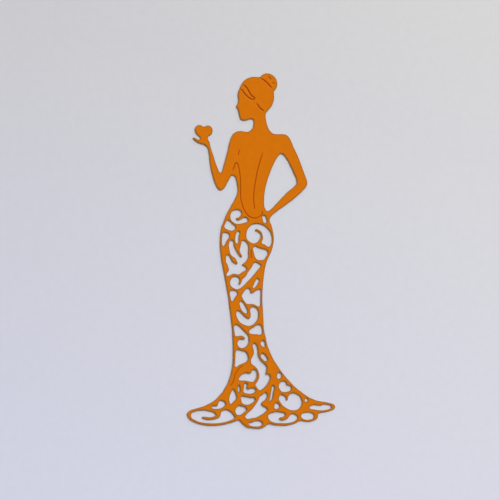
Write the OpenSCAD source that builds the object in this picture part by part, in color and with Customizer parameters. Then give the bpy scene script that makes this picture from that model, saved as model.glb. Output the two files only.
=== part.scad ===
// Paper doll: a lady seen from behind, die-cut from one sheet of card, lying face up on the table.
// +Z is up through the card, +Y is towards the head and +X is to the viewer's right.
// The origin is on the back face, in the middle of the figure's height and width.
// The sheet is given as regions that meet face to face along pressed lines and narrow strands.

/* [Figure] */
// Height of the figure, from the top of the bun to the lowest scallop of the train
figure_height = 118; // [90:0.5:180]

/* [Card] */
// Thickness of the card
card_thickness = 0.4; // [0.25:0.05:0.6]
// Width of a line that the die presses into the card
press_width = 0.4; // [0.2:0.05:0.5]
// Depth of a pressed line
press_depth = 0.1; // [0.05:0.01:0.2]

/* [Hidden] */

// Straight steps that a curve takes between two of its points
curve_steps = 3;

// Every table of points is in pixels of the photograph, x to the right and y down.
// A point with a third value of 1 is a sharp corner, and curves run smoothly through all others.
left_px = 187.2;
right_px = 335.1;
top_px = 73.5;
bottom_px = 428.2;
centre_px = [(left_px + right_px) / 2, (top_px + bottom_px) / 2];
mm_per_px = figure_height / (bottom_px - top_px);
// Edges that face down and to the left were read at the far side of the card's thin shadow,
// which reaches this far, so they are moved back by it
shadow_px = [-0.7, 0.9];

// Outer edge of the whole figure, clockwise as seen, in stretches
bun_edge_px = [
    [259.6, 77.2], [262.4, 75.0], [264.6, 73.8], [267.4, 73.5], [270.6, 74.2], [274.3, 76.7],
    [276.5, 80.0], [277.3, 83.3], [276.9, 87.0], [275.2, 89.8]];
nape_edge_px = [
    [273.9, 91.4, 1], [274.0, 94.5], [274.2, 98.0], [273.5, 101.8], [271.6, 106.0],
    [268.6, 109.9], [266.4, 112.4], [265.6, 114.8], [265.7, 117.5], [266.2, 121.0],
    [267.2, 125.2], [268.4, 128.4], [270.2, 131.1], [272.3, 133.1], [275.2, 134.1]];
right_arm_edge_px = [
    [279.0, 134.25], [282.5, 134.25], [285.8, 134.8], [288.0, 136.2], [289.8, 138.8],
    [291.5, 142.0], [293.2, 146.4], [295.3, 150.8], [297.4, 155.2], [299.3, 159.8],
    [301.1, 164.6], [303.0, 169.8], [304.9, 175.0], [306.4, 178.8], [307.2, 182.0],
    [307.1, 184.6], [305.9, 187.2], [303.4, 190.1], [300.0, 193.7], [296.6, 196.6],
    [293.2, 199.6], [289.8, 202.1], [286.6, 204.6], [283.6, 206.8], [280.6, 208.8],
    [277.8, 210.9], [275.0, 213.0], [272.6, 215.0], [271.0, 216.8], [270.0, 218.6]];
right_skirt_edge_px = [
    [269.6, 220.3], [270.0, 222.0], [271.0, 224.1], [271.9, 226.7], [272.7, 230.0],
    [273.4, 233.5], [273.8, 237.2], [273.8, 240.6], [273.3, 244.0], [272.6, 247.4],
    [271.6, 250.9], [270.2, 254.3], [268.6, 257.4], [267.2, 260.5], [266.1, 263.7],
    [265.3, 267.0], [264.7, 270.4], [264.15, 274.0], [263.7, 278.0], [263.2, 282.5],
    [262.9, 287.0], [262.5, 291.8], [262.4, 297.0], [262.45, 302.0], [262.8, 307.5],
    [263.1, 313.0], [263.4, 319.0], [263.7, 325.0], [264.1, 330.3], [265.0, 334.6],
    [265.9, 338.0], [266.4, 341.0], [267.1, 344.0], [267.9, 346.6], [268.9, 349.0],
    [269.8, 351.6], [271.0, 354.0], [272.1, 356.5]];
train_top_edge_px = [
    [273.3, 359.0], [274.7, 361.4], [276.3, 363.8], [277.8, 366.0], [279.4, 368.5],
    [281.1, 371.0], [283.0, 373.5], [285.2, 376.2], [287.4, 378.9], [289.6, 381.2],
    [291.6, 383.4], [293.6, 385.5], [295.7, 387.4], [298.2, 389.5], [301.0, 391.6],
    [303.9, 393.9], [306.9, 395.8], [310.0, 397.8], [313.2, 399.1], [316.4, 400.4],
    [319.6, 401.1], [322.8, 401.6], [326.4, 402.2], [330.0, 403.0], [332.8, 403.8],
    [334.5, 405.2], [335.1, 406.9]];
hem_right_edge_px = [
    [334.4, 408.7], [332.3, 410.3], [329.0, 411.5], [325.2, 412.5], [321.6, 413.0],
    [319.2, 413.6], [318.1, 414.6], [317.9, 416.2], [317.5, 417.9], [316.2, 419.5],
    [314.0, 420.7], [311.4, 421.7], [308.0, 422.2], [304.6, 421.9], [301.0, 421.3],
    [298.6, 421.8], [296.4, 423.0], [293.4, 424.2], [290.4, 425.0], [286.8, 425.8],
    [283.0, 426.05], [278.6, 425.8], [274.6, 425.5], [272.2, 424.9], [270.2, 424.35]];
hem_middle_edge_px = [
    [267.9, 424.7], [265.9, 426.1], [263.9, 427.5], [261.6, 428.5], [258.6, 429.05],
    [255.4, 428.95], [251.8, 428.45], [248.4, 428.1], [245.8, 427.1], [243.4, 425.2],
    [241.4, 423.3], [240.2, 421.9], [239.2, 420.9]];
hem_left_edge_px = [
    [237.4, 420.9], [234.9, 421.7], [232.0, 422.8], [228.6, 423.6], [225.0, 424.7],
    [220.8, 425.4], [216.0, 426.0], [211.0, 426.1], [206.0, 425.75], [201.6, 425.1],
    [197.6, 424.0], [193.8, 422.6], [190.8, 421.0], [188.6, 419.3], [187.3, 417.1],
    [186.7, 414.9], [187.1, 413.1], [188.6, 411.5], [190.9, 410.0], [193.8, 409.1],
    [197.2, 408.1], [200.6, 407.1], [204.0, 406.1], [207.2, 404.5], [210.4, 403.0],
    [213.4, 401.2], [216.2, 398.9], [218.8, 396.1], [221.2, 393.5], [223.3, 391.1]];
left_skirt_edge_px = [
    [224.9, 387.8], [226.5, 385.2], [227.9, 382.3], [229.0, 379.0], [230.1, 375.8],
    [231.0, 372.3], [231.6, 368.8], [232.2, 364.9], [232.6, 361.0], [232.7, 356.5],
    [232.75, 351.5], [232.65, 346.0], [232.4, 340.5], [232.1, 334.5], [231.9, 329.6],
    [231.4, 325.4], [230.8, 320.6], [230.1, 315.6], [229.6, 311.0], [228.9, 306.6],
    [228.3, 301.2], [227.7, 296.2], [226.8, 291.6], [225.9, 286.6], [225.0, 281.4],
    [224.1, 276.6], [223.2, 271.8], [222.3, 267.4], [221.4, 262.8], [220.7, 258.0],
    [220.1, 253.0], [219.7, 248.6], [219.45, 244.6], [219.5, 240.8], [219.7, 237.2],
    [220.0, 233.9], [220.4, 230.9], [221.0, 228.0], [221.8, 225.2], [222.9, 222.9],
    [223.9, 220.2], [224.9, 217.5], [226.0, 214.9], [227.3, 212.3], [228.8, 209.7]];
bodice_edge_px = [
    [230.3, 207.1], [231.5, 204.6], [233.4, 201.5], [235.2, 198.0], [236.7, 194.2],
    [237.2, 191.2], [237.1, 187.5], [236.4, 183.6], [235.4, 179.6], [234.2, 176.9]];
left_arm_edge_px = [
    [232.3, 175.9], [230.4, 177.2], [229.2, 179.7], [227.5, 182.6], [225.4, 186.6],
    [223.2, 189.4], [220.4, 190.9], [217.2, 188.8], [215.1, 185.1], [213.2, 180.0],
    [211.8, 175.0], [210.6, 170.4], [209.8, 165.6], [209.1, 160.4], [208.8, 156.0],
    [208.0, 152.0], [207.2, 148.7], [205.8, 146.9], [204.0, 145.5], [201.4, 144.6],
    [198.6, 143.8], [196.2, 142.4], [194.2, 140.9], [192.9, 139.1], [192.9, 137.9],
    [194.2, 137.6], [195.6, 138.2], [197.4, 139.3], [199.1, 139.8]];
heart_edge_px = [
    [199.8, 138.8, 1], [199.4, 137.8], [198.0, 136.5], [196.2, 134.6], [194.9, 132.2],
    [194.6, 129.7], [195.2, 127.5], [197.0, 125.7], [199.0, 125.0], [201.0, 125.3],
    [202.6, 126.3], [203.7, 126.8, 1], [204.6, 126.6], [206.4, 125.8], [208.6, 125.6],
    [210.4, 126.3], [212.2, 128.3], [212.7, 130.6], [212.4, 132.4], [211.6, 134.2],
    [210.0, 135.5], [208.4, 136.7]];
inner_arm_edge_px = [
    [207.7, 138.3, 1], [208.5, 140.2], [209.6, 142.2], [210.1, 144.5], [211.0, 148.2],
    [212.0, 151.6], [213.5, 155.8], [214.8, 160.3], [216.5, 165.2], [218.1, 169.2],
    [219.3, 171.8], [220.5, 172.7], [221.6, 171.8], [222.2, 169.6], [223.5, 165.0],
    [225.1, 159.4], [226.4, 154.2], [227.7, 149.4], [228.4, 145.6], [229.7, 141.0],
    [230.9, 137.6], [232.6, 134.7], [234.3, 133.0]];
left_shoulder_edge_px = [
    [235.2, 132.4], [238.0, 131.3], [241.2, 131.1], [244.6, 131.7], [247.6, 131.9],
    [249.8, 131.0], [251.6, 129.3], [252.8, 127.0], [253.1, 124.4], [253.1, 121.8]];
profile_edge_px = [
    [252.4, 120.1], [250.6, 119.6], [248.2, 120.3], [245.6, 120.95], [243.2, 121.1],
    [241.2, 120.5], [239.8, 119.4], [239.2, 117.4], [238.5, 114.6], [237.8, 111.6],
    [237.3, 109.8], [236.4, 108.2], [235.8, 106.5], [236.5, 105.0], [237.3, 103.5],
    [237.8, 101.2], [237.8, 98.6], [237.4, 95.2], [238.0, 91.6], [239.6, 87.9],
    [241.6, 84.0], [244.0, 80.8], [247.0, 78.7], [250.4, 77.4], [253.8, 76.9], [257.0, 77.1]];
silhouette_px = concat(
    bun_edge_px, nape_edge_px, right_arm_edge_px, right_skirt_edge_px, train_top_edge_px,
    hem_right_edge_px, hem_middle_edge_px, hem_left_edge_px, left_skirt_edge_px,
    bodice_edge_px, left_arm_edge_px, heart_edge_px, inner_arm_edge_px,
    left_shoulder_edge_px, profile_edge_px);

// Cut-outs, from the bent arm down to the hem
arm_gap_px = [
    [281.2, 154.4], [283.3, 155.6], [285.2, 158.2], [287.2, 161.0], [289.0, 164.6],
    [291.1, 168.8], [292.9, 173.0], [294.9, 177.2], [296.0, 180.6], [296.2, 183.3],
    [295.2, 185.3], [293.0, 187.5], [290.0, 190.0], [287.0, 192.4], [284.6, 195.0],
    [281.6, 198.0], [278.4, 201.5], [275.7, 204.3], [273.4, 207.0], [271.2, 209.0],
    [269.2, 210.5], [267.4, 210.9], [266.2, 210.4], [265.4, 208.9], [264.6, 207.2],
    [264.2, 205.0], [264.1, 203.0], [264.1, 200.5], [264.3, 196.0], [264.9, 191.3],
    [265.6, 187.2], [266.7, 183.0], [268.0, 178.4], [269.6, 174.2], [271.2, 169.8],
    [273.0, 165.6], [274.8, 161.8], [277.0, 157.8], [279.2, 155.3]];
hip_scroll_px = [
    [236.4, 210.4], [233.9, 210.9], [232.0, 211.8], [230.9, 213.6], [230.4, 215.8],
    [230.7, 218.2], [231.7, 220.6], [233.6, 222.4], [235.9, 223.6], [238.2, 223.9],
    [241.0, 223.6], [244.0, 222.8], [246.7, 221.9], [247.5, 220.8], [246.7, 219.1],
    [245.1, 218.1], [243.5, 218.4], [242.1, 219.1], [240.4, 220.0], [238.2, 220.8],
    [235.9, 219.9], [236.4, 217.9], [238.2, 217.5], [239.4, 216.8],
    [240.5, 215.2], [240.9, 213.5], [240.2, 211.8], [238.6, 210.8]];
hip_leaf_px = [
    [227.6, 220.8], [229.3, 221.8], [230.9, 223.5], [232.8, 225.1], [234.4, 226.4],
    [235.2, 227.9], [234.0, 229.7], [232.4, 230.6], [230.2, 230.3], [227.9, 229.6],
    [225.4, 228.3], [224.4, 226.3], [225.3, 223.8], [226.2, 222.0]];
hip_eye_px = [
    [263.2, 216.3], [264.7, 216.5], [265.5, 218.0], [266.1, 220.0], [266.5, 221.8], [265.8, 222.8],
    [264.4, 222.7], [263.3, 221.5], [262.9, 219.8], [262.5, 218.1], [262.4, 216.9]];
hip_spiral_px = [
    [250.0, 226.5], [252.3, 225.0], [255.2, 224.45], [258.4, 224.45], [261.5, 225.3],
    [264.4, 226.8], [267.0, 229.1], [269.1, 231.4], [270.4, 234.1], [271.2, 237.0],
    [271.55, 240.0], [271.2, 243.0], [270.5, 245.3], [268.7, 246.8], [266.9, 246.0],
    [264.6, 244.4], [262.3, 243.6], [261.7, 242.1], [262.6, 240.2], [263.1, 237.6],
    [262.6, 234.9], [261.6, 232.3], [260.0, 230.5], [257.9, 229.4], [255.9, 228.95],
    [254.6, 230.1], [255.7, 231.6], [257.9, 232.7], [259.5, 234.0], [260.2, 235.9],
    [259.9, 238.0], [259.0, 240.0], [257.1, 242.2], [254.6, 243.3], [252.0, 243.0],
    [249.6, 241.5], [247.5, 239.6], [246.6, 237.3], [246.45, 234.4], [246.8, 231.8],
    [247.8, 229.1]];
hip_petal_px = [
    [224.0, 233.1], [226.3, 233.4], [228.3, 234.5], [228.9, 236.2], [228.1, 238.3],
    [226.6, 240.6], [225.6, 243.0], [224.6, 244.9], [223.3, 246.2], [222.5, 244.8],
    [222.05, 242.5], [222.1, 239.5], [222.45, 236.6], [222.6, 233.9]];
hip_sliver_px = [
    [238.4, 231.6], [236.9, 232.7], [235.9, 234.5], [235.5, 236.9], [235.3, 240.2],
    [235.8, 242.2], [237.0, 243.6], [237.9, 242.4], [238.3, 240.0], [238.35, 237.0],
    [238.8, 234.2], [239.2, 232.4]];
hip_shell_px = [
    [255.3, 247.0], [253.6, 247.4], [253.0, 249.1], [253.8, 251.8], [254.3, 254.4],
    [255.1, 256.8], [256.4, 258.7], [258.0, 259.9], [260.4, 259.95], [263.0, 259.95],
    [264.8, 258.8], [265.9, 256.6], [267.2, 254.3], [267.1, 252.2], [265.6, 250.5],
    [263.2, 249.75], [260.4, 249.0], [257.6, 248.1]];
thigh_branch_px = [
    [231.3, 240.6], [229.5, 242.3], [228.9, 244.2], [229.1, 247.0], [229.6, 250.2],
    [230.3, 253.1], [231.7, 255.4], [233.6, 256.9], [235.5, 258.3], [236.6, 260.4],
    [237.6, 263.1], [237.1, 264.5], [235.6, 264.4], [233.6, 263.5], [231.9, 262.2],
    [230.7, 260.1], [229.5, 257.8], [228.3, 256.0], [226.9, 255.5], [226.0, 257.0],
    [226.0, 259.3], [226.3, 262.3], [227.5, 264.4], [228.3, 267.0], [229.0, 269.5],
    [228.4, 271.5], [227.1, 272.8], [226.6, 274.5], [227.1, 276.0, 1], [229.4, 275.5],
    [231.5, 274.4], [233.6, 273.55], [236.0, 274.0], [238.4, 274.35], [240.3, 273.5],
    [242.4, 271.9], [244.6, 270.7], [246.3, 268.9, 1], [244.8, 267.2],
    [242.6, 266.2], [241.6, 264.9], [242.5, 264.0], [244.2, 262.8], [246.0, 261.2],
    [247.1, 259.0], [247.9, 256.8], [247.75, 253.5], [247.8, 250.0], [247.8, 246.9],
    [247.0, 244.4], [245.4, 242.4], [243.6, 241.2], [242.1, 241.2], [241.4, 243.0],
    [240.7, 245.9], [240.0, 248.8], [239.8, 250.6], [240.4, 252.5], [241.4, 254.6],
    [242.2, 256.5], [241.4, 257.7], [239.8, 257.2], [238.0, 255.0], [236.5, 252.6],
    [235.0, 250.0], [233.9, 247.4], [233.1, 244.6], [232.9, 241.9]];
thigh_vine_px = [
    [255.3, 262.9], [253.9, 263.4], [252.8, 265.1], [251.6, 267.4], [250.0, 269.6],
    [248.4, 271.4], [247.3, 273.6], [246.0, 275.9], [244.0, 277.8], [242.3, 279.4],
    [241.9, 281.2], [241.0, 283.3], [239.8, 285.1], [238.6, 284.5], [238.5, 282.5],
    [239.0, 280.4], [238.2, 278.3], [236.0, 277.4], [233.8, 277.3], [231.9, 278.4],
    [230.6, 280.3], [230.05, 282.8], [230.7, 285.1], [232.2, 287.1], [234.3, 288.3],
    [236.6, 289.1], [239.4, 288.5], [241.2, 287.4], [243.3, 285.8], [245.4, 283.8],
    [247.6, 281.3], [249.8, 279.2], [252.0, 276.9], [254.0, 274.4], [256.2, 271.8],
    [258.2, 269.2], [260.1, 266.9], [260.0, 265.3], [258.0, 264.2], [256.6, 263.2]];
thigh_bud_px = [
    [257.4, 278.9], [255.7, 280.7], [254.6, 282.6], [253.8, 284.8], [253.0, 287.0],
    [253.7, 288.2], [255.4, 286.8], [256.9, 285.0], [257.9, 282.7], [258.6, 280.2]];
knee_wing_px = [
    [247.2, 289.0], [245.6, 289.9], [244.0, 291.7], [242.7, 293.8], [241.7, 295.7],
    [242.6, 297.8], [243.9, 300.2], [245.5, 302.4], [247.2, 303.8], [249.5, 304.0],
    [252.2, 303.9], [254.6, 304.5], [256.6, 305.6], [258.7, 306.4], [260.0, 305.7],
    [260.2, 302.8], [260.15, 299.0], [260.25, 295.3], [260.2, 292.0], [259.7, 290.1],
    [257.6, 290.4], [255.4, 291.5], [253.4, 292.9], [251.6, 293.6], [250.0, 292.8],
    [249.6, 290.8], [248.8, 289.2]];
knee_drop_px = [
    [232.4, 290.9], [230.5, 291.3], [229.9, 293.0], [230.2, 295.5], [230.9, 298.0],
    [231.3, 300.1], [232.2, 301.2], [233.5, 299.9], [234.7, 297.7], [235.9, 295.8],
    [237.0, 294.0], [236.2, 292.2], [234.4, 291.3]];
knee_seed_px = [
    [241.2, 301.7], [239.6, 303.1], [239.8, 305.0], [240.5, 307.2], [241.4, 309.3],
    [242.6, 311.0], [244.3, 312.6], [245.6, 313.3], [247.0, 312.6], [246.9, 310.9],
    [246.0, 308.7], [245.0, 306.8], [243.8, 304.9], [242.6, 302.9]];
knee_swirl_px = [
    [237.8, 311.4], [236.5, 312.3], [236.2, 314.2], [236.9, 316.8], [238.1, 319.4],
    [239.8, 321.9], [241.8, 323.4], [244.3, 324.7], [246.8, 325.6], [249.0, 325.85],
    [251.6, 325.1], [254.0, 323.8], [255.9, 321.6], [257.3, 319.1], [258.0, 316.2],
    [257.95, 313.3], [257.3, 310.7], [255.5, 308.3], [252.9, 307.4], [251.2, 307.9],
    [250.3, 309.5], [250.5, 312.3], [250.8, 315.0], [250.4, 317.4], [249.3, 318.9],
    [247.5, 318.9], [245.6, 318.0], [243.5, 316.3], [241.5, 314.4], [239.8, 312.5]];
calf_hook_px = [
    [235.6, 325.2], [234.3, 326.2], [234.1, 328.4], [234.6, 331.5], [235.0, 334.2],
    [235.4, 335.8], [236.8, 336.15], [239.0, 335.9], [240.9, 335.6], [243.1, 336.1],
    [244.6, 337.3], [245.1, 338.6], [244.3, 339.6], [242.4, 339.65], [240.3, 339.6],
    [238.5, 340.6], [237.55, 342.4], [237.7, 344.5], [238.7, 346.3], [240.2, 347.5],
    [241.9, 348.0], [244.3, 347.3], [246.6, 345.9], [247.8, 343.8], [248.4, 341.6],
    [248.3, 338.8], [247.9, 336.3], [246.8, 334.6], [245.0, 332.8], [242.6, 330.4],
    [240.3, 328.1], [238.5, 326.5], [236.9, 325.5]];
calf_leaf_px = [
    [258.2, 325.2], [256.6, 325.7], [254.6, 327.0], [252.3, 328.2], [250.2, 329.6],
    [249.2, 331.4], [249.9, 333.2], [252.2, 333.9], [255.0, 334.15], [257.2, 334.15],
    [259.0, 334.65], [261.2, 334.2], [261.85, 332.4], [261.6, 329.2], [260.8, 326.8],
    [259.6, 325.4]];
calf_seed_px = [
    [263.0, 340.9], [261.7, 341.6], [260.5, 343.3], [261.2, 344.9], [262.5, 346.4],
    [264.0, 347.0], [264.8, 345.9], [264.5, 344.0], [264.0, 342.0]];
calf_wedge_px = [
    [237.7, 350.15], [236.2, 350.8], [235.6, 352.8], [235.6, 356.0], [235.3, 359.5],
    [235.2, 363.0], [235.1, 366.0], [236.3, 367.0], [238.4, 365.4], [240.4, 364.3],
    [242.6, 363.4], [245.0, 362.4], [246.9, 360.9], [247.9, 358.4], [247.5, 356.2],
    [246.6, 353.9], [245.3, 352.2], [242.8, 351.4], [239.9, 350.6]];
hem_vine_px = [
    [254.3, 343.7], [252.9, 344.6], [252.8, 346.5], [253.5, 348.9], [253.9, 351.8],
    [253.7, 354.4], [252.5, 356.6], [251.3, 358.9], [251.0, 361.5], [251.5, 363.5],
    [253.2, 365.0], [255.4, 366.6], [257.2, 368.7], [258.5, 371.3], [259.3, 374.3],
    [259.3, 377.2], [258.4, 379.8], [256.9, 382.3], [255.4, 384.5], [256.3, 386.3],
    [257.7, 388.4], [259.3, 389.9], [260.8, 390.0], [262.3, 388.9], [264.3, 387.3],
    [266.1, 385.4], [267.7, 382.9], [269.1, 380.0], [269.7, 377.2], [269.1, 375.5],
    [267.4, 374.7], [265.7, 374.5], [265.15, 373.4], [265.9, 371.7], [266.2, 369.3],
    [266.2, 367.0], [264.9, 365.0], [262.6, 363.0], [260.5, 360.8], [258.9, 358.3],
    [257.6, 355.4], [257.35, 352.4], [257.3, 350.0], [256.6, 347.1], [255.6, 344.7]];
calf_bean_px = [
    [262.4, 353.6], [261.2, 354.9], [260.9, 356.7], [261.8, 358.1], [263.2, 359.5],
    [264.6, 360.8], [266.3, 360.9], [267.1, 359.7], [266.6, 358.0], [265.4, 356.4],
    [264.1, 354.7]];
medallion_top_px = [
    [253.8, 370.1], [252.0, 370.8], [251.4, 372.6], [249.9, 373.6], [247.6, 373.4],
    [245.4, 373.3], [243.2, 374.0], [241.2, 375.5], [239.4, 377.4], [238.8, 379.6],
    [240.8, 380.5], [243.8, 380.4], [246.8, 380.8], [250.0, 381.5], [252.9, 381.8],
    [254.4, 380.6], [255.6, 378.9], [256.5, 376.2], [256.5, 373.3], [255.7, 370.9]];
medallion_hook_px = [
    [245.8, 383.3], [244.3, 384.6], [244.1, 387.2], [243.6, 389.8], [243.6, 391.7],
    [245.1, 393.0], [247.3, 393.4], [249.0, 393.7], [251.6, 393.45], [253.6, 392.9],
    [255.2, 391.2], [254.9, 389.3], [253.1, 388.5], [250.6, 388.8], [248.4, 389.6],
    [246.9, 389.2], [246.3, 387.7], [246.3, 386.1], [246.9, 384.4]];
medallion_bowl_px = [
    [242.7, 396.5], [240.9, 397.4], [241.3, 399.8], [241.7, 401.6], [242.9, 403.5],
    [245.0, 404.4], [247.2, 404.7], [249.5, 404.3], [251.6, 403.1], [253.5, 401.7],
    [254.9, 399.8], [254.0, 398.2], [251.2, 398.2], [248.4, 397.6], [245.4, 397.1]];
medallion_foot_px = [
    [239.6, 406.0], [237.6, 406.9], [235.9, 408.9], [235.4, 410.9], [236.0, 413.0],
    [237.4, 414.6], [239.0, 414.9], [240.9, 414.5], [242.8, 413.3], [244.7, 411.6],
    [246.2, 409.5], [245.0, 407.7], [242.5, 406.9]];
medallion_slit_px = [
    [238.6, 385.5], [239.3, 386.6], [239.6, 388.8], [239.6, 390.8], [238.8, 392.0],
    [238.0, 390.9], [237.9, 388.8], [238.0, 386.7]];
train_leaf_px = [
    [233.0, 389.8], [231.6, 391.7], [230.4, 394.1], [229.6, 397.0], [229.2, 399.8],
    [229.8, 402.2], [230.6, 404.3], [232.6, 402.5], [234.3, 400.7], [235.8, 399.1],
    [236.3, 396.8], [235.4, 394.6], [234.6, 392.0]];
train_curl_px = [
    [220.8, 400.9], [218.9, 401.9], [218.1, 403.9], [217.6, 405.6], [216.2, 406.2],
    [214.0, 406.4], [212.1, 406.7], [211.7, 407.6], [213.2, 408.6], [216.0, 408.85],
    [219.5, 408.5], [221.8, 407.8], [223.4, 406.6], [224.8, 405.2], [224.8, 403.2],
    [223.4, 401.8]];
left_loop_px = [
    [190.9, 415.6], [191.4, 414.1], [192.6, 412.8], [195.2, 411.8], [198.4, 411.1],
    [202.0, 410.85], [205.8, 410.95], [209.0, 411.7], [212.2, 412.4], [214.2, 413.6],
    [215.4, 415.0], [214.7, 416.1], [212.6, 416.8], [209.0, 417.15], [206.2, 416.75],
    [203.8, 416.6], [202.3, 416.7], [201.7, 417.7], [202.4, 418.8], [204.8, 419.8],
    [208.3, 420.3], [212.0, 419.95], [215.6, 419.3], [218.4, 418.0], [220.2, 416.2],
    [220.75, 413.9], [221.4, 411.9], [223.2, 410.95], [225.6, 410.3], [227.9, 410.9],
    [230.6, 412.5], [232.7, 414.9], [234.2, 416.8], [233.8, 418.6], [231.3, 419.8],
    [228.2, 420.9], [224.9, 422.05], [220.8, 422.7], [216.5, 423.2], [211.5, 423.25],
    [206.5, 423.0], [202.2, 422.4], [198.6, 421.6], [195.4, 420.1], [192.8, 418.8],
    [191.5, 417.2]];
train_vine_px = [
    [265.7, 392.8], [263.2, 394.6], [260.9, 395.6], [259.6, 397.2], [258.5, 399.8],
    [257.0, 402.6], [255.0, 405.3], [253.1, 408.0], [250.8, 410.3], [248.7, 412.3],
    [246.8, 414.1], [245.3, 416.0], [245.9, 418.1], [248.8, 418.8], [252.0, 418.0],
    [255.3, 417.6], [258.2, 416.4], [261.0, 414.8], [263.5, 413.3], [265.5, 411.4],
    [267.0, 409.4], [265.7, 408.0], [263.6, 407.1], [261.9, 405.6], [261.0, 404.0],
    [261.9, 402.1], [263.8, 400.7], [265.5, 399.5], [266.2, 397.5], [266.9, 395.0]];
train_blade_px = [
    [272.9, 385.4], [271.9, 387.4], [271.5, 390.0], [271.0, 393.0], [270.5, 396.0],
    [270.0, 398.6], [269.3, 401.2], [271.1, 400.0], [272.1, 398.0], [272.6, 395.0],
    [273.0, 392.0], [273.6, 389.2], [273.9, 386.7]];
train_eye_px = [
    [279.1, 372.4], [277.5, 374.2], [277.0, 376.0], [277.5, 378.2], [278.9, 378.8],
    [280.5, 377.9], [281.1, 376.3], [280.8, 374.6], [280.0, 373.3]];
train_petal_px = [
    [283.3, 381.6], [280.9, 382.4], [279.5, 383.5], [278.95, 385.6], [278.9, 387.3],
    [279.9, 389.2], [281.4, 391.2], [283.6, 391.9], [286.0, 391.9], [288.3, 391.4],
    [290.1, 390.6], [290.7, 388.7], [290.4, 387.0], [289.3, 386.2], [287.4, 385.8],
    [285.9, 384.5], [285.3, 382.5]];
train_heart_px = [
    [281.0, 395.2], [279.3, 396.8], [278.85, 398.6], [279.5, 400.5], [280.8, 402.7],
    [282.4, 404.9], [284.6, 406.8], [287.2, 408.4], [290.0, 409.7], [293.2, 410.2],
    [296.0, 410.0], [298.4, 408.8], [300.2, 407.0], [301.2, 404.4], [301.4, 401.9],
    [300.6, 399.3], [299.3, 396.7], [297.2, 395.1], [294.9, 394.0], [292.5, 393.6],
    [290.2, 394.5], [288.6, 396.0], [287.9, 398.3], [287.6, 399.9], [286.6, 400.5],
    [285.5, 399.6], [285.3, 397.8], [283.7, 396.2]];
train_dot_px = [
    [276.2, 403.2], [274.9, 404.3], [274.4, 406.2], [274.7, 408.3], [276.6, 408.9],
    [278.2, 408.3], [279.2, 406.7], [278.6, 404.8], [277.3, 403.6]];
right_loop_px = [
    [276.5, 412.2], [273.9, 412.7], [271.2, 413.4], [269.3, 414.1], [268.2, 415.6],
    [268.2, 417.4], [269.3, 419.4], [271.0, 421.1], [273.6, 422.2], [277.0, 422.95],
    [281.0, 423.0], [285.0, 423.1], [288.8, 422.7], [292.2, 422.0], [294.9, 420.8],
    [296.9, 419.1], [297.0, 417.6], [296.3, 416.3], [294.5, 415.0], [292.6, 414.3],
    [290.6, 415.0], [289.2, 416.4], [288.2, 418.0], [286.2, 419.5], [283.8, 420.5],
    [281.4, 420.7], [279.5, 419.8], [278.9, 418.5], [279.8, 417.5], [282.0, 417.1],
    [283.7, 416.4], [284.8, 415.1], [283.8, 413.5], [281.2, 413.0], [278.8, 412.5]];
train_oval_px = [
    [308.0, 412.9], [304.7, 413.2], [302.2, 413.9], [301.2, 415.5], [301.8, 417.5],
    [303.8, 419.0], [307.0, 419.8], [310.0, 419.4], [312.3, 418.8], [313.4, 416.9],
    [313.2, 415.2], [311.4, 413.7]];
train_pinhole_px = [
    [304.7, 400.3], [305.1, 399.1], [306.0, 398.7], [306.9, 399.1], [307.3, 400.3],
    [306.9, 401.5], [306.0, 401.9], [305.1, 401.5]];
train_blade_tip_px = [
    [313.9, 405.35], [311.6, 405.9], [309.9, 406.9], [309.6, 408.0], [311.1, 408.9],
    [314.2, 409.4], [317.6, 410.0], [321.0, 410.3], [325.0, 410.0], [328.2, 409.3],
    [329.9, 408.6], [330.75, 407.4], [330.2, 406.3], [328.4, 405.5], [325.8, 405.1],
    [323.6, 404.9], [321.5, 405.7], [319.0, 405.95], [316.4, 405.6]];
middle_loop_px = [
    [257.0, 421.2], [254.6, 421.6], [252.4, 422.5], [250.2, 422.9], [248.6, 423.4],
    [249.3, 424.9], [251.1, 425.8], [253.5, 426.35], [256.2, 426.35], [258.4, 426.4],
    [260.4, 425.7], [262.0, 424.6], [261.6, 423.0], [260.3, 421.8]];

// Points that lines share, and where the pressed part of a line starts or ends
lock_tip_px = [254.9, 98.2];
nape_fork_px = [263.1, 110.3];
shoulder_press_top_px = [239.8, 149.2];
shoulder_press_foot_px = [237.9, 155.8];
hook_px = [236.5, 162.5];
waist_fork_px = [243.2, 207.4];
neckline_press_end_px = [262.6, 211.5];
train_press_start_px = [228.6, 386.3];
medallion_fork_px = [233.5, 380.4];
ring_turn_px = [237.3, 370.5];
ring_fork_px = [238.8, 368.6];
vine_fork_px = [257.5, 361.0];
loops_fork_px = [271.0, 418.4];

// Lines where two regions meet, run on past the edge of the card at a free end
bun_line_px = [
    [258.3, 76.3], [259.6, 77.2], [261.6, 78.6], [264.0, 80.0], [265.6, 81.3], [267.4, 82.9],
    [269.4, 85.3], [271.5, 87.6], [273.9, 91.4], [275.3, 93.6]];
lock_top_px = [
    [240.6, 81.0], [244.7, 85.6], [246.5, 87.2], [248.4, 90.3], [249.6, 92.4], [251.0, 94.7],
    [252.8, 96.2], [254.3, 97.4], lock_tip_px];
lock_bottom_px = [
    [236.5, 88.8], [239.3, 88.9], [242.5, 90.3], [243.4, 91.6], [244.7, 93.5], [246.8, 95.6],
    [248.7, 97.4], [250.9, 98.5], [252.6, 99.4], [253.8, 99.1], lock_tip_px];
hair_line_px = [
    lock_tip_px, [255.6, 100.6], [256.9, 103.2], [258.2, 105.3], [259.7, 107.5],
    [261.5, 109.0], nape_fork_px, [266.0, 113.2], [268.5, 115.7]];
jaw_line_px = [[251.2, 121.4], [252.4, 120.1], [256.0, 117.0], [260.0, 113.2], nape_fork_px];
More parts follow.
